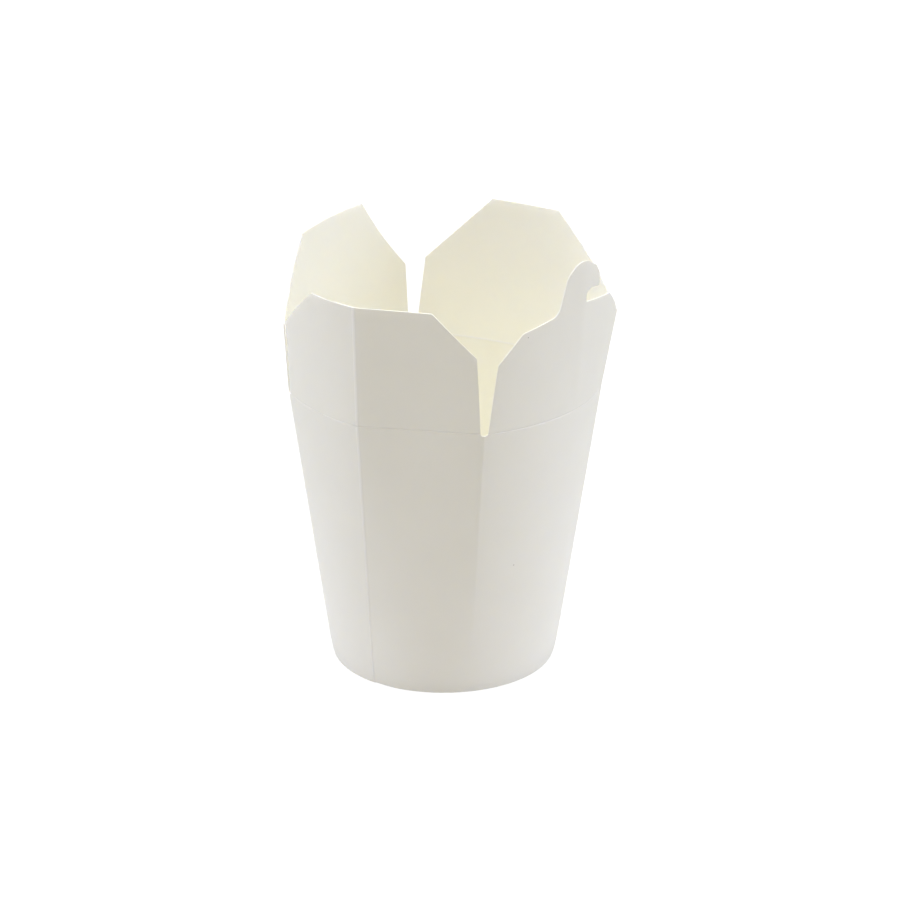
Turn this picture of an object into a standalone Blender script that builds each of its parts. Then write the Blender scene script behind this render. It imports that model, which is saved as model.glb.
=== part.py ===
"""Round-base paperboard takeaway box, standing open with its four closing flaps up.

The side wall leaves its foot as a circle. Higher up it grows a little squarer: it has a
soft corner under each of the four slits, and a fifth ridge along the glued seam. Between
two ridges each face is flatter than the round it would otherwise follow.
Lengths are metres and angles degrees. Angle 0 faces -Y and angle 90 faces +X.
"""

import math

import bmesh
import bpy
from mathutils import Vector

# Board and fits
BOARD = 0.0005          # thickness of the coated paperboard
GAP = 0.0003            # clearance between neighbouring pieces

# Side wall
FOOT_RADIUS = 0.0405    # outer radius where the wall stands on the table
CREASE_HEIGHT = 0.1033  # height of the flap creases
ROUND_RADIUS = 0.0562   # outer radius of the round that the crease section starts from
SQUARENESS = 1.2        # how late, going up, the wall leaves its round shape
# Ridges of the crease section: (angle, outer radius), then how far each face falls short
RIDGES = ((-45, 0.0562), (-1, 0.0564), (45, 0.0572), (135, 0.0562), (225, 0.0558), (315, 0.0562))
FACE_HOLLOWS = (0.0013, 0.0043, 0.0027, 0.0090, 0.0018)

# Foot: the wall's lower edge is folded inwards and up, round the skirt of the base
HEM_HEIGHT = 0.0070
HEM_ROUNDING = 0.0005
BASE_RECESS = 0.0068    # height of the base's underside over the table

# The origin is the middle of the box's overall size, on the table. The flaps lean unevenly,
# so the foot stands a little beside it, and the wall stands a little askew.
FOOT_CENTRE = Vector((-0.0050, 0.0019, 0.0))
SLANT = Vector((0.0082, 0.0051, 0.0))   # how far the wall's middle shifts for each metre of height

# Flaps, one on each face, with a slit between neighbours
SLIT_WIDTH = 0.0025     # at the crease
SHOULDER_RECESS = 0.0018  # how much further a flap's edge stands back at its shoulder
STEPS_ROUND = 72        # facets of the wall
FLAP_STRIP = 0.0050     # width of the facets of a flap
ARC_STEPS = 4           # facets of a rounded corner

WALL_COLOUR = (0.80, 0.80, 0.77, 1.0)
BASE_COLOUR = (0.84, 0.82, 0.74, 1.0)

FLAP_FOOT = math.radians(45) * ROUND_RADIUS - SLIT_WIDTH / 2
FLAP_SHOULDER = FLAP_FOOT - SHOULDER_RECESS

# Each flap: where it faces, how far its left and right ends lean out, how much flatter it grows
# for each metre of height, and its free edge from left to right seen from outside, as
# (across, height, corner radius). Across is measured along the crease.
FLAPS = {
    "flap_front": {
        "facing": 0,
        "leans": (3.2, 7.0),
        "flattening": 0.0,
        "edge": (
            (-FLAP_SHOULDER, 0.0264, 0.0010),
            (-0.0186, 0.0434, 0.0006),
            (0.0268, 0.0428, 0.0006),
            (FLAP_SHOULDER, 0.0276, 0.0010),
        ),
    },
    "flap_right": {
        "facing": 90,
        "leans": (8.0, 10.5),
        "flattening": 0.0,
        "edge": (
            (-0.0406, 0.0249, 0.0010),
            (-0.0327, 0.0354, 0.0020),
            (-0.0196, 0.0394, 0.0040),
            (-0.0175, 0.0528, 0.0060),
            (-0.0122, 0.0587, 0.0050),
            (-0.0046, 0.0541, 0.0035),
            (-0.0017, 0.0503, 0.0040),
            (-0.0009, 0.0457, 0.0006),
            (-0.0085, 0.0464, 0.0026),
            (-0.0075, 0.0414, 0.0010),
            (0.0083, 0.0401, 0.0012),
            (0.0230, 0.0292, 0.0200),
            (FLAP_SHOULDER, 0.0225, 0.0010),
        ),
    },
    "flap_back": {
        "facing": 180,
        "leans": (9.0, 9.0),
        "flattening": 0.0,
        "edge": (
            (-0.0422, 0.0276, 0.0010),
            (-0.0142, 0.0513, 0.0004),
            (0.0140, 0.0517, 0.0004),
            (0.0388, 0.0280, 0.0010),
        ),
    },
    "flap_left": {
        "facing": 270,
        "leans": (5.5, 3.9),
        "flattening": 0.14,
        "edge": (
            (-0.0421, 0.0257, 0.0010),
            (-0.0337, 0.0366, 0.0300),
            (-0.0232, 0.0519, 0.0008),
            (-0.0014, 0.0510, 0.0300),
            (0.0158, 0.0498, 0.0008),
            (0.0285, 0.0319, 0.0100),
            (FLAP_SHOULDER, 0.0235, 0.0010),
        ),
    },
}


def heading(angle):
    """Unit vector that points out of the box at an angle."""
    turn = math.radians(angle)
    return Vector((math.sin(turn), -math.cos(turn), 0.0))


def crease_radius(angle):
    """Outer radius of the section at the creases."""
    turned = (angle - RIDGES[0][0]) % 360 + RIDGES[0][0]
    for left, right, hollow in zip(RIDGES, RIDGES[1:], FACE_HOLLOWS):
        if turned <= right[0]:
            share = (turned - left[0]) / (right[0] - left[0])
            ridge_line = left[1] + (right[1] - left[1]) * share
            return ridge_line - hollow * math.sin(math.pi * share)


def wall_radius(angle, height):
    """Outer radius of the wall: a cone, plus the share of the squared section at that height."""
    share = max(0.0, height / CREASE_HEIGHT)
    cone = FOOT_RADIUS + (ROUND_RADIUS - FOOT_RADIUS) * share
    risen = max(0.0, (height - HEM_HEIGHT) / (CREASE_HEIGHT - HEM_HEIGHT))
    return cone + (crease_radius(angle) - ROUND_RADIUS) * risen**SQUARENESS


def cone_radius(height):
    return FOOT_RADIUS + (ROUND_RADIUS - FOOT_RADIUS) * height / CREASE_HEIGHT


def new_object(name, bm, colour, place):
    """Make a named object of a bmesh at its place, with its own board material."""
    bmesh.ops.recalc_face_normals(bm, faces=bm.faces[:])
    mesh = bpy.data.meshes.new(name)
    bm.to_mesh(mesh)
    bm.free()
    mesh.shade_smooth()
    mesh.set_sharp_from_angle(angle=math.radians(40))
    board = bpy.data.materials.new(name + "_board")
    board.use_nodes = True
    shader = board.node_tree.nodes["Principled BSDF"]
    shader.inputs["Base Color"].default_value = colour
    shader.inputs["Roughness"].default_value = 0.5
    shader.inputs["Metallic"].default_value = 0.0
    mesh.materials.append(board)
    obj = bpy.data.objects.new(name, mesh)
    obj.location = place
    bpy.context.collection.objects.link(obj)


def turned_profile(profile, closed):
    """Turn a profile of (radius, height) points round the box's axis."""
    bm = bmesh.new()
    verts = [bm.verts.new((0.0, -radius, height)) for radius, height in profile]
    ends = verts[1:] + verts[:1] if closed else verts[1:]
    edges = [bm.edges.new(pair) for pair in zip(verts, ends)]
    bmesh.ops.spin(
        bm,
        geom=verts + edges,
        cent=(0, 0, 0),
        axis=(0, 0, 1),
        angle=math.tau,
        steps=STEPS_ROUND,
        use_merge=True,
    )
    bmesh.ops.remove_doubles(bm, verts=bm.verts[:], dist=1e-6)
    return bm


def square_the_wall(bm):
    """Move the turned wall's points to the squarer section, on the middle of the slanting wall."""
    for vert in bm.verts:
        angle = math.degrees(math.atan2(vert.co.x, -vert.co.y))
        change = wall_radius(angle, vert.co.z) - cone_radius(vert.co.z)
        vert.co += heading(angle) * change + SLANT * vert.co.z


def make_wall():
    """The side wall up to the creases, with its lower edge folded up inside the foot."""
    fold = BOARD + 2 * GAP + BOARD   # from the wall's inner face to the folded edge's outer face
    rows = (0.030, 0.055, 0.080, CREASE_HEIGHT)
    outside = [(cone_radius(0) - HEM_ROUNDING, 0.0), (cone_radius(HEM_ROUNDING), HEM_ROUNDING)]
    outside += [(cone_radius(h), h) for h in (HEM_HEIGHT,) + rows]
    inside = [(cone_radius(h) - BOARD, h) for h in reversed(rows)]
    inside += [(cone_radius(h) - BOARD, h) for h in (HEM_HEIGHT, BOARD)]
    hem = [(cone_radius(h) - fold, h) for h in (BOARD, HEM_HEIGHT - 2 * BOARD)]
    hem += [(cone_radius(h) - fold - BOARD, h) for h in (HEM_HEIGHT - 2 * BOARD, HEM_ROUNDING)]
    hem += [(cone_radius(0) - fold - BOARD + HEM_ROUNDING, 0.0)]
    bm = turned_profile(outside + inside + hem, closed=True)
    square_the_wall(bm)
    new_object("wall", bm, WALL_COLOUR, FOOT_CENTRE)


def make_base():
    """The base: a flat disc with its rim turned down, into the fold of the wall's foot."""
    top = BASE_RECESS + BOARD
    skirt_end = BOARD + GAP
    outer = [(cone_radius(h) - BOARD - GAP, h) for h in (top, skirt_end)]
    inner = [(cone_radius(h) - 2 * BOARD - GAP, h) for h in (skirt_end, BASE_RECESS)]
    profile = [(0.0, top)] + outer + inner + [(0.0, BASE_RECESS)]
    new_object("base", turned_profile(profile, closed=False), BASE_COLOUR, FOOT_CENTRE)


def rounded_corner(before, corner, after, radius):
    """Points of the arc that rounds a corner off."""
    to_before = (before - corner).normalized()
    to_after = (after - corner).normalized()
    half_turn = to_before.angle(to_after) / 2
    reach = radius / math.tan(half_turn)
    centre = corner + (to_before + to_after).normalized() * radius / math.sin(half_turn)
    start = (corner + to_before * reach - centre).normalized()
    end = (corner + to_after * reach - centre).normalized()
    return [centre + start.slerp(end, n / ARC_STEPS) * radius for n in range(ARC_STEPS + 1)]


def flap_outline(edge):
    """The flat outline of a flap: its foot, both slit edges and its free edge."""
    corners = [(-FLAP_FOOT, 0.0, 0.0), *edge, (FLAP_FOOT, 0.0, 0.0)]
    places = [Vector((across, height)) for across, height, _ in corners]
    points = [places[0]]
    for index in range(1, len(corners) - 1):
        radius = corners[index][2]
        points += rounded_corner(places[index - 1], places[index], places[index + 1], radius)
    return points + [places[-1]]


def hinge_point(facing):
    """Middle of a flap's hinge axis, from the foot's centre.

    The axis is the straight line along the crease that joins the flap's two lower corners.
    """
    half_angle = math.degrees(FLAP_FOOT / ROUND_RADIUS)
    ends = (facing - half_angle, facing + half_angle)
    reach = min(crease_radius(angle) for angle in ends) - BOARD
    point = SLANT * CREASE_HEIGHT
    point += heading(facing) * reach * math.cos(math.radians(half_angle))
    point.z = CREASE_HEIGHT + GAP
    return point


def make_flap(name, facing, leans, flattening, edge):
    """Cut a flap from flat board and wrap it on the section above its crease."""
    bm = bmesh.new()
    outer_face = bm.faces.new([bm.verts.new((p.x, p.y, 0.0)) for p in flap_outline(edge)])
    thickness = bmesh.ops.extrude_face_region(bm, geom=[outer_face], use_keep_orig=True)
    inner_face = [item for item in thickness["geom"] if isinstance(item, bmesh.types.BMVert)]
    bmesh.ops.translate(bm, verts=inner_face, vec=(0, 0, -BOARD))
    strips = round(2 * FLAP_FOOT / FLAP_STRIP)
    for number in range(1, strips):
        across = -FLAP_FOOT + 2 * FLAP_FOOT * number / strips
        bmesh.ops.bisect_plane(
            bm,
            geom=bm.verts[:] + bm.edges[:] + bm.faces[:],
            plane_co=(across, 0, 0),
            plane_no=(1, 0, 0),
            dist=1e-6,
        )
    bmesh.ops.triangulate(bm, faces=bm.faces[:])
    for vert in bm.verts:
        across, height, depth = vert.co
        angle = facing + math.degrees(across / ROUND_RADIUS)
        share = (angle - facing) / 90 + 0.5
        slope = math.radians(leans[0] + (leans[1] - leans[0]) * share)
        drawn_in = flattening * height * math.sin(math.pi * share)
        radius = crease_radius(angle) + height * math.sin(slope) - drawn_in + depth
        vert.co = SLANT * CREASE_HEIGHT + heading(angle) * radius
        vert.co.z = CREASE_HEIGHT + GAP + height * math.cos(slope)
    hinge = hinge_point(facing)
    bmesh.ops.translate(bm, verts=bm.verts[:], vec=-hinge)
    new_object(name, bm, WALL_COLOUR, FOOT_CENTRE + hinge)


def main():
    for obj in list(bpy.data.objects):
        bpy.data.objects.remove(obj, do_unlink=True)
    make_wall()
    make_base()
    for name, flap in FLAPS.items():
        make_flap(name, **flap)


main()
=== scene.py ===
"""Looks of the round-base paperboard takeaway box, standing open with its four flaps up.

The box is made as the real one is: flat board is cut to its outline, then wrapped round the
box, with the wall's lower edge folded in under the base and its two ends lapped and glued.
A place on the flat board is (along, up, depth): along runs anticlockwise seen from above,
measured at the creases, up is height on the sheet, and depth goes in from the outer face.
The wall's outer end is the seam at SEAM_ANGLE, and its inner end is one whole turn before it.
Lengths are metres and angles degrees. Angle 0 faces -Y and angle 90 faces +X.
"""

import math

import bmesh
import bpy
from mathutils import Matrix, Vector


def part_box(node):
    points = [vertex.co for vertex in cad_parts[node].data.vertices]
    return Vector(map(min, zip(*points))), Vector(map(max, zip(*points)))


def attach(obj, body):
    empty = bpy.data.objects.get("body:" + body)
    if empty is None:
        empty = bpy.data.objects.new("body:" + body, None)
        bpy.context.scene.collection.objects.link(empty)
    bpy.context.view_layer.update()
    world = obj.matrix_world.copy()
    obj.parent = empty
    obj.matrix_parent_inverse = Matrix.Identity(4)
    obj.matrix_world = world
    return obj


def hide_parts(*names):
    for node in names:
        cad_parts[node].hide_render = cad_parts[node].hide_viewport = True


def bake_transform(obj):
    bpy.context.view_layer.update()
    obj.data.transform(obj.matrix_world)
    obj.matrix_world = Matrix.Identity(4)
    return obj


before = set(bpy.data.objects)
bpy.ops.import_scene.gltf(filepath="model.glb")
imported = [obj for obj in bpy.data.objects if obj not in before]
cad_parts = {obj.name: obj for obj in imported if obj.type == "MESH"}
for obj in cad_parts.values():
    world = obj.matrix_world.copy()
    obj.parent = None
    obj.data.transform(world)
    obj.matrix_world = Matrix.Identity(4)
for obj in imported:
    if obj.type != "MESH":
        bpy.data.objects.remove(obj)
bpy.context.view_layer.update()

MM = 0.001

# What the frame gives: the middle of the round base, and the height of the flap creases
FOOT_CENTRE = sum(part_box("base"), Vector()) / 2
FOOT_CENTRE.z = 0.0
CREASE_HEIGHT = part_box("wall")[1].z

# The box's section, as the frame is built
BOARD = 0.0005
GAP = 0.0003                # clearance between two solids
FOOT_RADIUS = 0.0405
ROUND_RADIUS = 0.0562       # of the plain cone at the creases
SQUARENESS = 1.2            # power of the height with which the section grows square
SLANT = Vector((0.0082, 0.0051, 0.0))  # sideways shift for each metre of height
HEM_HEIGHT = 0.0070
BASE_RECESS = 0.0068        # height of the base's under side

# The section at the creases: its corners and the seam as (angle, radius), and how much flatter
# than an arc the board is between each two of them
RIDGES = ((-45, 0.0562), (-1, 0.0564), (45, 0.0572), (135, 0.0562), (225, 0.0558), (315, 0.0562))
FACE_HOLLOWS = (0.0013, 0.0043, 0.0027, 0.0090, 0.0018)

# Hem: the wall's edge turns in and up round the base's skirt
FOLD_REACH = BOARD + GAP + BOARD / 2    # outer radius of the turn under the foot
HEM_PINCH = 0.25 * MM                   # how far pressing the hem draws the foot in
HEM_LEG = HEM_HEIGHT - 2 * BOARD        # height of the turned-in edge

# Glued seam
SEAM_ANGLE = -1.0
SEAM_START = -3.8 * MM      # where the seam meets the table, along the foot
SEAM_LEAN = 0.0380          # how far it leans along the sheet for each metre of height
SEAM_BEND = 12.0            # degrees of sheet over which its columns follow the lean
LAP = 9.0                   # degrees of board under the outer end
FILM = 0.02 * MM            # glue between the two ends
SKIVED = 0.3                # share of the board's thickness left over the lap
SKIVE_RUN = 3.0             # degrees of sheet over which the board is pared down to it
PRESSED_EDGE = 0.80         # degrees of sheet over which the outer end is pressed down
PRESSED_SHARE = 0.9         # share of the pared end's thickness that is pressed down
SEAM_HIGHLIGHT = 0.95            # degrees of sheet along the seam given the cut faces' white: a painted highlight along the outer end
CREASE_HIGHLIGHT = 0.16 * MM     # height of the line below a crease given the cut faces' white: a painted highlight along the crease
INSIDE_CREASE_HIGHLIGHT = 0.30 * MM      # reach of the line at a crease on the inside given the cut faces' white: a painted highlight along the crease

# Slits and creases
SLIT_WIDTH = 0.0025
SHOULDER_RECESS = 0.0018    # how far each side of a flap leans in up to its shoulder
SLIT_DIP = 0.7 * MM         # how far the slit's round end drops below the crease
DIP_REACH = 3.0 * MM        # height of the wall's upper edge that follows the round ends
CREASE_DEPTH = 0.16 * MM
CREASE_WIDTH = 0.26 * MM
INNER_CREASE = 0.15         # share of a crease's depth that shows on the inner face
BEND_HEIGHT = 5.0 * MM      # height above a crease drawn in finer rows, where a folding flap curves

# Pressed line that runs down from each slit
CORNER_CREASE_END = 0.0610  # height where it fades out
CORNER_CREASE_FADE = 8.0 * MM
CORNER_CREASE_DEPTH = 0.12 * MM
CORNER_CREASE_WIDTH = 0.40 * MM
CORNER_CREASE_ASIDE = 1.2 * MM      # how far it runs beside its corner

# A soft upright bend in the hook flap, below the hook
HOOK_BEND_FOOT = -2.9 * MM   # where its line meets the crease, from the flap's middle
HOOK_BEND_SLOPE = -0.135     # how far the line leans for each metre of height
HOOK_BEND_START = 12.0 * MM  # height over which the bend grows from nothing
HOOK_BEND_RISE = 0.28 * MM
HOOK_BEND_WIDTH = 2.6 * MM

# Base disc
BASE_TURN = 0.7 * MM        # outer radius of the turned-down rim's bend
BASE_TIGHT = 0.8            # share of the gap to the wall that the disc's upper edge closes

# How finely the board is drawn
CREASE_ROWS = (0, 0.08, 0.16, 0.25, 0.35, 0.5, 0.7, 1.0, 1.6, 2.2)  # mm from a crease
HEM_ROWS = (2.0, 3.5, 5.0, 6.2)  # mm above the table
HEM_TURN_STEPS = 10
WALL_ROW = 3.2 * MM
BEND_ROW = 0.4 * MM
FLAP_ROW = 3.0 * MM
SLIT_COLUMNS = (-1.8, -1.5, -1.2, -1, -0.8, -0.5, -0.25, 0, 0.25, 0.5, 0.8, 1)  # in half slits
BASE_RINGS = (0.0, 0.4, 0.8)  # of the foot's radius
BASE_COLUMNS = 120
ARC_STEPS = 6
EDGE_ROUNDING = 0.07 * MM   # of the cut edges
SHARP_EDGE = 35.0           # degrees of turn at which shading breaks
CUT_TOLERANCE = 1e-7
WELD_TOLERANCE = 1e-6

# Least upward part of the normal of flat board's two faces, and of the base's upper side
LEVEL_FACE = 0.9
UPPER_SIDE = 0.3

FLAP_FOOT = math.radians(45) * ROUND_RADIUS - SLIT_WIDTH / 2
FLAP_SHOULDER = FLAP_FOOT - SHOULDER_RECESS

# Each flap: where it faces on the unrolled sheet, how far its left and right ends lean out, how
# much flatter it grows for each metre of height, and its free edge from left to right seen from
# outside, as (across, height, corner radius). Across is measured along the crease.
FLAPS = {
    "front": {
        "facing": 0,
        "leans": (3.2, 7.0),
        "flattening": 0.0,
        "edge": (
            (-FLAP_SHOULDER, 0.0264, 0.0010),
            (-0.0186, 0.0434, 0.0006),
            (0.0268, 0.0428, 0.0006),
            (FLAP_SHOULDER, 0.0276, 0.0010),
        ),
    },
    "right": {
        "facing": -270,
        "leans": (8.0, 10.5),
        "flattening": 0.0,
        "edge": (
            (-0.0406, 0.0249, 0.0010),
            (-0.0327, 0.0354, 0.0020),
            (-0.0196, 0.0394, 0.0040),
            (-0.0175, 0.0528, 0.0060),
            (-0.0122, 0.0587, 0.0050),
            (-0.0046, 0.0541, 0.0035),
            (-0.0017, 0.0503, 0.0040),
            (-0.0009, 0.0457, 0.0006),
            (-0.0085, 0.0464, 0.0026),
            (-0.0075, 0.0414, 0.0010),
            (0.0083, 0.0401, 0.0012),
            (0.0230, 0.0292, 0.0200),
            (FLAP_SHOULDER, 0.0225, 0.0010),
        ),
    },
    "back": {
        "facing": -180,
        "leans": (9.0, 9.0),
        "flattening": 0.0,
        "edge": (
            (-0.0422, 0.0276, 0.0010),
            (-0.0142, 0.0513, 0.0004),
            (0.0140, 0.0517, 0.0004),
            (0.0388, 0.0280, 0.0010),
        ),
    },
    "left": {
        "facing": -90,
        "leans": (5.5, 3.9),
        "flattening": 0.14,
        "edge": (
            (-0.0421, 0.0257, 0.0010),
            (-0.0337, 0.0366, 0.0300),
            (-0.0232, 0.0519, 0.0008),
            (-0.0014, 0.0510, 0.0300),
            (0.0158, 0.0498, 0.0008),
            (0.0285, 0.0319, 0.0100),
            (FLAP_SHOULDER, 0.0235, 0.0010),
        ),
    },
}

# Finishes of the board: outside, inside, and the cut faces, whose white finish also paints highlight
# lines along the seam and creases
OUTSIDE, INSIDE, CUT_AND_HIGHLIGHT = range(3)


# ---------------------------------------------------------------- shape of the wrapped sheet


def heading(angle):
    """Unit vector that points out of the box at an angle."""
    turn = math.radians(angle)
    return Vector((math.sin(turn), -math.cos(turn), 0.0))


def smooth(share):
    """Ease from 0 to 1 as share does."""
    share = min(1.0, max(0.0, share))
    return share * share * (3 - 2 * share)


def crease_radius(angle):
    """Outer radius of the section at the creases."""
    turned = (angle - RIDGES[0][0]) % 360 + RIDGES[0][0]
    for left, right, hollow in zip(RIDGES, RIDGES[1:], FACE_HOLLOWS):
        if turned <= right[0]:
            share = (turned - left[0]) / (right[0] - left[0])
            ridge_line = left[1] + (right[1] - left[1]) * share
            return ridge_line - hollow * math.sin(math.pi * share)


def cone_radius(height):
    """Outer radius of the plain cone."""
    return FOOT_RADIUS + (ROUND_RADIUS - FOOT_RADIUS) * height / CREASE_HEIGHT


def wall_middle(height):
    """Middle of the slightly slanting wall at a height. The flaps stand round its upper end."""
    return FOOT_CENTRE + SLANT * min(height, CREASE_HEIGHT)


def wall_radius(angle, height):
    """Outer radius of the wall: a cone, plus the share of the squared section at that height."""
    risen = max(0.0, (height - HEM_HEIGHT) / (CREASE_HEIGHT - HEM_HEIGHT))
    squared = (crease_radius(angle) - ROUND_RADIUS) * risen**SQUARENESS
    return cone_radius(height) + squared


def to_seam(angle):
    """Degrees of sheet from a place to the nearer of the seam's two layers."""
    return min(abs(angle - SEAM_ANGLE), abs(angle - SEAM_ANGLE + 360))


def seam_shift(angle, height):
    """Degrees by which the leaning seam moves a place on the sheet."""
    seam = math.degrees((SEAM_START + SEAM_LEAN * height) / cone_radius(height))
    follows = 1.0 if angle < SEAM_ANGLE - 360 else 1 - smooth(to_seam(angle) / SEAM_BEND)
    return (seam - SEAM_ANGLE) * follows


def skive_and_tuck(angle, depth):
    """Depth of a place in the board near the seam.

    The outer end is pared thin from its inner face and its edge is pressed down. The sheet dips
    in to pass under it.
    """
    paring = smooth((angle - SEAM_ANGLE + LAP + SKIVE_RUN) / SKIVE_RUN)
    pared = depth * (1 - (1 - SKIVED) * paring)
    pressed = max(0.0, 1 - (SEAM_ANGLE - angle) / PRESSED_EDGE) * PRESSED_SHARE
    dip = (BOARD * SKIVED + FILM) * smooth((SEAM_ANGLE - 360 + SEAM_BEND - angle) / SEAM_BEND)
    return pared + (BOARD * SKIVED - pared) * pressed + dip


def groove(distance, depth, width):
    """Depth of a pressed line at a distance from its middle."""
    return depth * math.exp(-((distance / width) ** 2))


def crease_press(distance, depth):
    """Depth of a crease, which is much weaker on the inner face."""
    share = 1 - (1 - INNER_CREASE) * depth / BOARD
    return groove(distance, CREASE_DEPTH * share, CREASE_WIDTH)


def corner_press(angle, height):
    """Depth of the pressed lines that run down from the slits."""
    beside = (angle + 90) % 90 - 45
    distance = math.radians(beside) * cone_radius(height) + CORNER_CREASE_ASIDE
    fade = smooth((height - CORNER_CREASE_END) / CORNER_CREASE_FADE)
    return groove(distance, CORNER_CREASE_DEPTH * fade, CORNER_CREASE_WIDTH)


def place_wall(along, up, depth):
    """Where a place on the wall's flat board ends up."""
    angle = math.degrees(along / ROUND_RADIUS)
    sunk = skive_and_tuck(angle, depth)
    if up >= FOLD_REACH:
        sunk += crease_press(CREASE_HEIGHT - up, depth) + corner_press(angle, up)
        sunk += HEM_PINCH * (1 - smooth(up / HEM_HEIGHT))
        height = up
        radius = wall_radius(angle, up) - sunk
    else:
        turned = min(FOLD_REACH - up, math.pi * FOLD_REACH) / FOLD_REACH
        risen = max(0.0, FOLD_REACH - up - math.pi * FOLD_REACH)
        middle = cone_radius(0) - HEM_PINCH - FOLD_REACH
        height = FOLD_REACH - (FOLD_REACH - sunk) * math.sin(turned) + risen
        radius = middle + (FOLD_REACH - sunk) * math.cos(turned)
    place = wall_middle(height) + heading(angle + seam_shift(angle, height)) * radius
    place.z = height
    return place


def hook_bend(along, up):
    """How far the hook flap's soft upright bend stands out."""
    across = along - math.radians(FLAPS["right"]["facing"]) * ROUND_RADIUS
    if abs(across) > FLAP_FOOT:
        return 0.0
    middle = HOOK_BEND_FOOT + HOOK_BEND_SLOPE * up
    return groove(across - middle, HOOK_BEND_RISE * smooth(up / HOOK_BEND_START), HOOK_BEND_WIDTH)


def place_flap(along, up, depth, facing, leans, flattening):
    """Where a place on a flap's flat board ends up. Its foot meets the wall's rim."""
    angle = math.degrees(along / ROUND_RADIUS)
    share = (angle - facing) / 90 + 0.5
    slope = math.radians(leans[0] + (leans[1] - leans[0]) * share)
    sunk = skive_and_tuck(angle, depth) + crease_press(up, depth)
    sunk += corner_press(angle, CREASE_HEIGHT) * (1 - smooth(up / (2 * CREASE_WIDTH)))
    sunk += flattening * up * math.sin(math.pi * share) - hook_bend(along, up)
    height = CREASE_HEIGHT + up * math.cos(slope)
    radius = crease_radius(angle) + up * math.sin(slope) - sunk
    place = wall_middle(height) + heading(angle + seam_shift(angle, height)) * radius
    place.z = height
    return place


# ---------------------------------------------------------------- cutting and wrapping board


def stepped(first, last, step):
    """Even places from first to last, about a step apart."""
    count = max(1, round((last - first) / step))
    return [first + (last - first) * number / count for number in range(count + 1)]


def sheet_columns(first, last):
    """Angles of the sheet's columns: every degree, and finer across each slit and the seam."""
    columns = {first, last}
    columns.update(angle for angle in range(math.ceil(first), math.floor(last) + 1))
    columns.update((SEAM_ANGLE - SEAM_HIGHLIGHT, SEAM_ANGLE - PRESSED_EDGE))
    half_slit = math.degrees(SLIT_WIDTH / 2 / ROUND_RADIUS)
    for corner in range(-405, 46, 90):
        columns.difference_update((corner - 2, corner - 1, corner + 1))
        columns.update(corner + share * half_slit for share in SLIT_COLUMNS)
    return sorted(angle for angle in columns if first <= angle <= last)


def thicken(bm, faces):
    """Give flat board its thickness, and its outside, inside and cut faces their finish."""
    made = bmesh.ops.extrude_face_region(bm, geom=faces, use_keep_orig=True)["geom"]
    inner = [item for item in made if isinstance(item, bmesh.types.BMVert)]
    bmesh.ops.translate(bm, verts=inner, vec=(0, 0, -BOARD))
    bmesh.ops.recalc_face_normals(bm, faces=bm.faces[:])
    for face in bm.faces:
        face.material_index = CUT_AND_HIGHLIGHT
        if abs(face.normal.z) > LEVEL_FACE:
            face.material_index = OUTSIDE if face.normal.z > 0 else INSIDE


def paint_highlights(bm):
    """Paint highlights: lines along the outer end and at the creases of flat board get the cut faces'
    white finish.
    """
    seam = math.radians(SEAM_ANGLE - SEAM_HIGHLIGHT) * ROUND_RADIUS
    for face in bm.faces:
        along, up, _ = face.calc_center_median()
        below = CREASE_HEIGHT - up
        highlit_outside = face.material_index == OUTSIDE and (along > seam or 0 < below < CREASE_HIGHLIGHT)
        highlit_inside = face.material_index == INSIDE and (0 < below < INSIDE_CREASE_HIGHLIGHT or 0 < up < INSIDE_CREASE_HIGHLIGHT)
        # Painted highlights, on the outer face and on the inner face
        if highlit_outside or highlit_inside:
            face.material_index = CUT_AND_HIGHLIGHT


def finish_sheet(name, bm, materials):
    """Make the piece of a wrapped sheet."""
    bmesh.ops.recalc_face_normals(bm, faces=bm.faces[:])
    mesh = bpy.data.meshes.new(name)
    bm.to_mesh(mesh)
    bm.free()
    mesh.shade_smooth()
    mesh.set_sharp_from_angle(angle=math.radians(SHARP_EDGE))
    for material in materials:
        mesh.materials.append(material)
    piece = bpy.data.objects.new(name, mesh)
    bpy.context.scene.collection.objects.link(piece)
    return piece


def slit_dip(angle):
    """How far the rim drops under a slit, whose lower end is round."""
    nearest = (angle + 45) % 90
    nearest = math.radians(min(nearest, 90 - nearest)) * ROUND_RADIUS
    return SLIT_DIP * math.sqrt(max(0.0, 1 - (2 * nearest / SLIT_WIDTH) ** 2))


def make_wall(materials):
    """The side wall: one sheet, a turn and a lap long, from the turned-in hem to the creases."""
    columns = sheet_columns(SEAM_ANGLE - 360 - LAP, SEAM_ANGLE)
    turn_start = FOLD_REACH - math.pi * FOLD_REACH
    rows = [turn_start - (HEM_LEG - FOLD_REACH)]
    rows += stepped(turn_start, FOLD_REACH, math.pi * FOLD_REACH / HEM_TURN_STEPS)
    rows += [height * MM for height in HEM_ROWS]
    rows += stepped(HEM_HEIGHT, CREASE_HEIGHT - DIP_REACH, WALL_ROW)
    rows += [CREASE_HEIGHT - below * MM for below in reversed(CREASE_ROWS)]
    bm = bmesh.new()
    across, high = len(columns) - 1, len(rows) - 1
    bmesh.ops.create_grid(bm, x_segments=across, y_segments=high, size=0.5)
    for vert in bm.verts:
        angle = columns[round((vert.co.x + 0.5) * across)]
        up = rows[round((vert.co.y + 0.5) * high)]
        up -= slit_dip(angle) * smooth((up - CREASE_HEIGHT + DIP_REACH) / DIP_REACH)
        vert.co = (math.radians(angle) * ROUND_RADIUS, up, 0)
    thicken(bm, bm.faces[:])
    paint_highlights(bm)
    for vert in bm.verts:
        vert.co = place_wall(vert.co.x, vert.co.y, -vert.co.z)
    wall = finish_sheet("side_wall", bm, materials)
    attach(wall, "box")
    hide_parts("wall")


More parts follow.
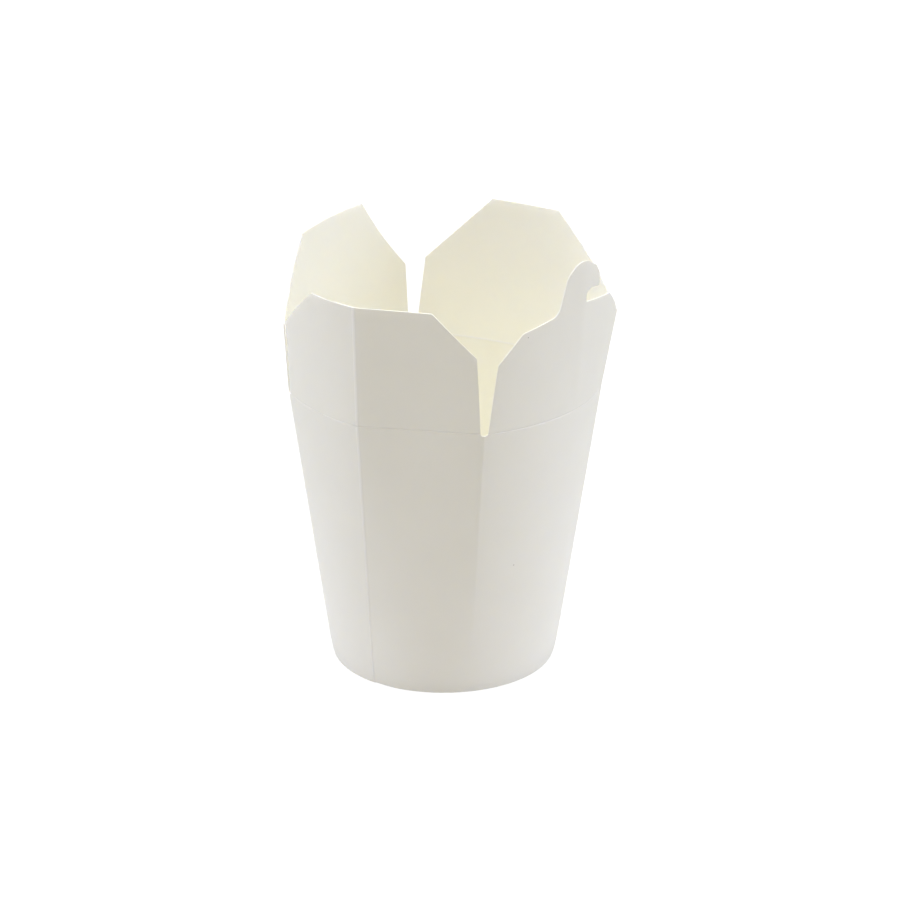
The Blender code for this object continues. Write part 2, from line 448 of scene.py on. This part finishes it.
def rounded_corner(before, corner, after, radius):
    """Points of the arc that rounds a corner off."""
    to_before = (before - corner).normalized()
    to_after = (after - corner).normalized()
    half_turn = to_before.angle(to_after) / 2
    reach = radius / math.tan(half_turn)
    centre = corner + (to_before + to_after).normalized() * radius / math.sin(half_turn)
    start = (corner + to_before * reach - centre).normalized()
    end = (corner + to_after * reach - centre).normalized()
    return [centre + start.slerp(end, n / ARC_STEPS) * radius for n in range(ARC_STEPS + 1)]


def flap_outline(edge):
    """The flat outline of a flap: its foot, both slit edges and its free edge."""
    corners = [(-FLAP_FOOT, 0.0, 0.0), *edge, (FLAP_FOOT, 0.0, 0.0)]
    places = [Vector((across, height + (GAP if height else 0))) for across, height, _ in corners]
    points = [places[0]]
    for index in range(1, len(corners) - 1):
        radius = corners[index][2]
        points += rounded_corner(places[index - 1], places[index], places[index + 1], radius)
    return points + [places[-1]]


def cut_at(bm, place, direction):
    """Cut all faces along a line of the flat board."""
    bmesh.ops.bisect_plane(
        bm,
        geom=bm.verts[:] + bm.edges[:] + bm.faces[:],
        plane_co=place,
        plane_no=direction,
        dist=CUT_TOLERANCE,
    )


def cut_board(edge, facing, sides):
    """Flat board of a flap's outline, or of the part of it between two angles."""
    middle = math.radians(facing) * ROUND_RADIUS
    left, right = (math.radians(side) * ROUND_RADIUS for side in sides)
    bm = bmesh.new()
    bm.faces.new([bm.verts.new((middle + p.x, p.y, 0)) for p in flap_outline(edge)])
    for side, outwards in ((left, -1), (right, 1)):
        bmesh.ops.bisect_plane(
            bm,
            geom=bm.verts[:] + bm.edges[:] + bm.faces[:],
            plane_co=(side, 0, 0),
            plane_no=(outwards, 0, 0),
            clear_outer=True,
            dist=CUT_TOLERANCE,
        )
    thicken(bm, bm.faces[:])
    rims = [
        e for e in bm.edges
        if len({f.material_index for f in e.link_faces}) > 1
        and max(v.co.y for v in e.verts) > GAP / 2
    ]
    bmesh.ops.bevel(
        bm,
        geom=rims,
        offset=EDGE_ROUNDING,
        segments=2,
        profile=0.5,
        affect="EDGES",
        material=-1,
    )
    for angle in sheet_columns(*sides)[1:-1]:
        cut_at(bm, (math.radians(angle) * ROUND_RADIUS, 0, 0), (1, 0, 0))
    top = max(vert.co.y for vert in bm.verts)
    heights = [above * MM for above in CREASE_ROWS[1:-2]]
    heights += stepped(heights[-1], BEND_HEIGHT, BEND_ROW)[1:]
    heights += stepped(BEND_HEIGHT, top, FLAP_ROW)[1:-1]
    for height in heights:
        cut_at(bm, (0, height, 0), (0, 1, 0))
    paint_highlights(bm)
    return bm


def make_flap(name, facing, leans, flattening, edge, materials):
    """Cut a flap and wrap it. The glued flap is two layers of board, lapped at the seam."""
    half = math.degrees(FLAP_FOOT / ROUND_RADIUS)
    parts = [(facing - half, facing + half)]
    if facing == 0:
        parts = [(-half, SEAM_ANGLE), (SEAM_ANGLE - 360 - LAP, half - 360)]
    whole = bmesh.new()
    for part in parts:
        # The inner layer is at the other end of the sheet, one turn before
        middle = facing if part[0] > facing - 180 else facing - 360
        bm = cut_board(edge, middle, part)
        for vert in bm.verts:
            along, up, depth = vert.co.x, vert.co.y, -vert.co.z
            vert.co = place_flap(along, up, depth, middle, leans, flattening)
        mesh = bpy.data.meshes.new("layer")
        bm.to_mesh(mesh)
        bm.free()
        whole.from_mesh(mesh)
        bpy.data.meshes.remove(mesh)
    flap = finish_sheet(name + "_closing_flap", whole, materials)
    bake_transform(flap)
    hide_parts("flap_" + name)


def make_base(materials):
    """The base: a disc of board with its rim turned down into the hem.

    It's pressed against the wall at its top, and stands free of the drawn-in foot.
    """
    top = BASE_RECESS + BOARD

    def skirt(height, depth):
        """A place on the turned-down rim, as (radius, height)."""
        slack = GAP + HEM_PINCH - (BASE_TIGHT * GAP + HEM_PINCH) * height / top
        return cone_radius(height) - BOARD - slack - depth, height

    outer = [skirt(height, 0.0) for height in (top - BASE_TURN, BOARD + GAP)]
    inner = [skirt(height, BOARD) for height in (BOARD + GAP, BASE_RECESS - BASE_TURN)]
    bend = []
    for number in range(1, ARC_STEPS + 1):
        around = math.radians(90 * number / ARC_STEPS)
        bend.append((
            outer[0][0] - BASE_TURN + BASE_TURN * math.sin(around),
            top - BASE_TURN + BASE_TURN * math.cos(around),
        ))
    profile = [(ring * FOOT_RADIUS, top) for ring in BASE_RINGS] + bend + outer[1:] + inner
    profile += [(inner[1][0] - BASE_TURN, BASE_RECESS), (0.0, BASE_RECESS)]
    bm = bmesh.new()
    verts = [bm.verts.new((0.0, -radius, height)) for radius, height in profile]
    edges = [bm.edges.new(pair) for pair in zip(verts, verts[1:])]
    bmesh.ops.spin(
        bm,
        geom=verts + edges,
        cent=(0, 0, 0),
        axis=(0, 0, 1),
        angle=math.tau,
        steps=BASE_COLUMNS,
        use_merge=True,
    )
    bmesh.ops.remove_doubles(bm, verts=bm.verts[:], dist=WELD_TOLERANCE)
    bmesh.ops.translate(bm, verts=bm.verts[:], vec=FOOT_CENTRE)
    bmesh.ops.recalc_face_normals(bm, faces=bm.faces[:])
    for face in bm.faces:
        high = face.calc_center_median().z > BASE_RECESS - BASE_TURN
        face.material_index = INSIDE if high and face.normal.z > UPPER_SIDE else OUTSIDE
    base = finish_sheet("base_disc", bm, materials)
    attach(base, "box")
    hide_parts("base")


# ---------------------------------------------------------------- finishes


def colour(code):
    """Linear colour of an sRGB hex value."""
    parts = [int(code[place:place + 2], 16) / 255 for place in (0, 2, 4)]
    linear = [((c + 0.055) / 1.055) ** 2.4 if c > 0.04045 else c / 12.92 for c in parts]
    return (*linear, 1.0)


def add_node(tree, kind, settings=None, **links):
    """Add a node. Each of links sets the input of that name, or _0 the first, _1 the second and
    so on, to a value or to another node's output.
    """
    node = tree.nodes.new(kind)
    for name, value in (settings or {}).items():
        setattr(node, name, value)
    for name, value in links.items():
        socket = node.inputs[int(name[1:])] if name[0] == "_" else node.inputs[name.replace("_", " ")]
        if isinstance(value, bpy.types.NodeSocket):
            tree.links.new(value, socket)
        else:
            socket.default_value = value
    return node


BOARD_IOR = 1.5
GLOW_SHARE = 0.8
GLOW_COLOURS = (1.0, 0.95, 0.80)  # red light goes deepest into board, and blue least
CLOUD_SCALE = 60.0          # clouds of denser fibre about 17 mm across
TOOTH_SCALE = 2500.0        # a tooth of 0.4 mm, coarser than the 0.03 mm fibres, which can't show
TOOTH_HEIGHT = 0.02 * MM
TOOTH_STRENGTH = 0.15

# Dark fibre specks in the outside, on the wall and on the hook flap
SPECKS = (Vector((0.0376, -0.02035, 0.0499)), Vector((0.0477, -0.02927, 0.1370)))
SPECK_FADE = (0.08 * MM, 0.22 * MM)  # distances from a speck's middle over which it ends
SPECK_COLOUR = "77736A"


def coated_board(name, light, dark, roughness, glow_depth, specks=()):
    """Paperboard with a coating: faint cloudy tone, and a fine tooth from the fibres."""
    material = bpy.data.materials.new(name)
    material.use_nodes = True
    tree = material.node_tree
    shader = tree.nodes["Principled BSDF"]
    shader.inputs["Roughness"].default_value = roughness
    shader.inputs["IOR"].default_value = BOARD_IOR
    shader.inputs["Subsurface Weight"].default_value = GLOW_SHARE
    shader.inputs["Subsurface Radius"].default_value = GLOW_COLOURS
    shader.inputs["Subsurface Scale"].default_value = glow_depth
    place = add_node(tree, "ShaderNodeTexCoord").outputs["Object"]
    cloud = add_node(tree, "ShaderNodeTexNoise", Vector=place, Scale=CLOUD_SCALE, Detail=4.0)
    tone = add_node(
        tree, "ShaderNodeMix", {"data_type": "RGBA"},
        _0=cloud.outputs[0], _6=colour(dark), _7=colour(light),
    )
    for speck in specks:
        away = add_node(
            tree, "ShaderNodeVectorMath", {"operation": "DISTANCE"}, _0=place, _1=speck,
        )
        clean = add_node(
            tree, "ShaderNodeMapRange",
            Value=away.outputs["Value"], From_Min=SPECK_FADE[0], From_Max=SPECK_FADE[1],
        )
        tone = add_node(
            tree, "ShaderNodeMix", {"data_type": "RGBA"},
            _0=clean.outputs[0], _6=colour(SPECK_COLOUR), _7=tone.outputs[2],
        )
    tree.links.new(tone.outputs[2], shader.inputs["Base Color"])
    tooth = add_node(tree, "ShaderNodeTexNoise", Vector=place, Scale=TOOTH_SCALE, Detail=3.0)
    bump = add_node(
        tree, "ShaderNodeBump",
        Height=tooth.outputs[0], Strength=TOOTH_STRENGTH, Distance=TOOTH_HEIGHT,
    )
    tree.links.new(bump.outputs[0], shader.inputs["Normal"])
    return material


# ---------------------------------------------------------------- studio

# The light tent. At the front it is open and dark, bright cloth hangs either side of the
# opening, and behind the box it gets darker again: (degrees from the opening's middle, share of
# red, green and blue)
OPENING_AZIMUTH, OPENING_ELEVATION = 28.0, 18.0
CLOTH_SHARES = (
    (180, (0.00, 0.00, 0.00)),
    (100, (0.18, 0.19, 0.23)),
    (80, (0.76, 0.82, 1.00)),
    (60, (0.00, 0.00, 0.00)),
    (40, (0.00, 0.00, 0.00)),
    (25, (0.03, 0.01, 0.00)),
)
CLOTH_LIGHT = (3.82, 3.76, 3.72, 1)
ROOF_LIGHT = (2.23, 2.18, 1.98, 1)
ROOF_RISE = (30.0, 60.0)        # elevations between which the tent's side turns into its roof
TABLE_POOL = (0.06, 0.32)       # distances from the foot over which the table's light fades
TABLE_LIGHT = (0.73, 0.72, 0.68, 1)
FAR_TABLE_LIGHT = (0.59, 0.58, 0.51, 1)
CONTACT_REACH = 11 * MM         # how far the foot's shadow reaches over the table
CONTACT_LIGHT = 0.88            # share of the table's light left at the foot
TABLE_TONE = (0.1, 0.1, 0.1, 1)  # what it reflects of the tent, so low that no shadow shows
TABLE_ROUGHNESS = 0.9
TABLE_SEEN = 0.95               # its glow as the camera sees it, which makes it plain white
TABLE_SIZE = 6.0                # metres from its middle to its edges


def make_camera():
    """The view, from the front right and above, with the box a little off its middle."""
    azimuth, elevation, distance = 32.0, 22.1, 0.990
    aim_right, aim_up = 1.37 * MM, 23.5 * MM
    target = wall_middle(CREASE_HEIGHT) + Vector((0, 0, CREASE_HEIGHT / 2))
    tilt = math.radians(elevation)
    back = heading(azimuth) * math.cos(tilt) + Vector((0, 0, math.sin(tilt)))
    right = heading(azimuth + 90)
    upwards = back.cross(right)
    camera = bpy.data.objects.new("camera", bpy.data.cameras.new("camera"))
    camera.data.lens = 110
    camera.data.sensor_width = 36
    camera.location = target + back * distance
    aim = target + right * aim_right + upwards * aim_up
    camera.rotation_euler = (aim - camera.location).to_track_quat("-Z", "Y").to_euler()
    bpy.context.scene.collection.objects.link(camera)
    bpy.context.scene.camera = camera


def make_light_tent():
    """A tent round the box: bright cloth at both sides of its dark open front, and a bright roof."""
    world = bpy.data.worlds.new("light_tent")
    bpy.context.scene.world = world
    world.use_nodes = True
    tree = world.node_tree
    tree.nodes.clear()
    place = add_node(tree, "ShaderNodeTexCoord").outputs["Generated"]
    tilt = math.radians(OPENING_ELEVATION)
    opening = heading(OPENING_AZIMUTH) * math.cos(tilt) + Vector((0, 0, math.sin(tilt)))
    facing = add_node(
        tree, "ShaderNodeVectorMath", {"operation": "DOT_PRODUCT"}, _0=place, _1=opening,
    )
    share = add_node(
        tree, "ShaderNodeMapRange", Value=facing.outputs["Value"], From_Min=-1.0, From_Max=1.0,
    )
    fall = add_node(tree, "ShaderNodeValToRGB", Fac=share.outputs[0])
    fall.color_ramp.interpolation = "EASE"
    while len(fall.color_ramp.elements) < len(CLOTH_SHARES):
        fall.color_ramp.elements.new(0.5)
    for stop, (away, shares) in zip(fall.color_ramp.elements, CLOTH_SHARES):
        stop.position = (math.cos(math.radians(away)) + 1) / 2
        stop.color = (*shares, 1)
    height = add_node(tree, "ShaderNodeSeparateXYZ", Vector=place).outputs["Z"]
    low, high = (math.sin(math.radians(rise)) for rise in ROOF_RISE)
    roof_share = add_node(
        tree, "ShaderNodeMapRange", {"interpolation_type": "SMOOTHSTEP"},
        Value=height, From_Min=low, From_Max=high,
    )
    cloth = add_node(
        tree, "ShaderNodeMix", {"data_type": "RGBA", "blend_type": "MULTIPLY"},
        _0=1.0, _6=CLOTH_LIGHT, _7=fall.outputs[0],
    )
    light = add_node(
        tree, "ShaderNodeMix", {"data_type": "RGBA"},
        _0=roof_share.outputs[0], _6=cloth.outputs[2], _7=ROOF_LIGHT,
    )
    lit = add_node(tree, "ShaderNodeBackground", Color=light.outputs[2], Strength=1.0)
    seen = add_node(tree, "ShaderNodeBackground", Color=(1, 1, 1, 1), Strength=1.0)
    ray = add_node(tree, "ShaderNodeLightPath").outputs["Is Camera Ray"]
    both = add_node(tree, "ShaderNodeMixShader", _0=ray, _1=lit.outputs[0], _2=seen.outputs[0])
    output = add_node(tree, "ShaderNodeOutputWorld")
    tree.links.new(both.outputs[0], output.inputs["Surface"])


def make_floor():
    """A white table. What it throws on the box is brightest round the foot."""
    bm = bmesh.new()
    bmesh.ops.create_grid(bm, x_segments=1, y_segments=1, size=TABLE_SIZE)
    mesh = bpy.data.meshes.new("floor")
    bm.to_mesh(mesh)
    bm.free()
    floor = bpy.data.objects.new("floor", mesh)
    bpy.context.scene.collection.objects.link(floor)
    material = bpy.data.materials.new("white_table")
    material.use_nodes = True
    tree = material.node_tree
    shader = tree.nodes["Principled BSDF"]
    shader.inputs["Base Color"].default_value = TABLE_TONE
    shader.inputs["Roughness"].default_value = TABLE_ROUGHNESS
    place = add_node(tree, "ShaderNodeTexCoord").outputs["Object"]
    away = add_node(
        tree, "ShaderNodeVectorMath", {"operation": "DISTANCE"}, _0=place, _1=FOOT_CENTRE,
    )
    fade = add_node(
        tree, "ShaderNodeMapRange", {"interpolation_type": "SMOOTHSTEP"},
        Value=away.outputs["Value"], From_Min=TABLE_POOL[0], From_Max=TABLE_POOL[1],
    )
    pool = add_node(
        tree, "ShaderNodeMix", {"data_type": "RGBA"},
        _0=fade.outputs[0], _6=TABLE_LIGHT, _7=FAR_TABLE_LIGHT,
    )
    contact = add_node(
        tree, "ShaderNodeMapRange", {"interpolation_type": "SMOOTHSTEP"},
        Value=away.outputs["Value"], From_Min=FOOT_RADIUS, From_Max=FOOT_RADIUS + CONTACT_REACH,
        To_Min=CONTACT_LIGHT,
    )
    thrown = add_node(
        tree, "ShaderNodeEmission", Color=pool.outputs[2], Strength=contact.outputs[0],
    )
    seen = add_node(tree, "ShaderNodeEmission", Color=(1, 1, 1, 1), Strength=TABLE_SEEN)
    ray = add_node(tree, "ShaderNodeLightPath").outputs["Is Camera Ray"]
    glow = add_node(tree, "ShaderNodeMixShader", _0=ray, _1=thrown.outputs[0], _2=seen.outputs[0])
    both = add_node(tree, "ShaderNodeAddShader", _0=shader.outputs[0], _1=glow.outputs[0])
    tree.links.new(both.outputs[0], tree.nodes["Material Output"].inputs["Surface"])
    mesh.materials.append(material)


def main():
    bpy.context.scene.view_settings.view_transform = "Standard"
    make_camera()
    # Board coated with white clay and pressed smooth: a cool white with a low sheen
    outside = coated_board(
        "clay_coated_outside", light="F2F1ED", dark="EEEDE8",
        roughness=0.30, glow_depth=0.06 * MM, specks=SPECKS,
    )
    # Thin plastic film melted on to the board: warmer, with light glowing through from outside
    inside = coated_board(
        "film_coated_inside", light="FBF9F0", dark="F8F6ED",
        roughness=0.30, glow_depth=0.42 * MM,
    )
    # Bare fibres along cuts: the whitest part, and matt. It also paints the highlight lines along the
    # seam and creases
    cut_and_highlight_finish = coated_board(
        "cut_edge_and_painted_highlight", light="FDFCF9", dark="F8F7F3",
        roughness=0.80, glow_depth=0.08 * MM,
    )
    board = (outside, inside, cut_and_highlight_finish)
    make_wall(board)
    make_base(board)
    for name, flap in FLAPS.items():
        make_flap(name, **flap, materials=board)
    make_light_tent()
    make_floor()


main()
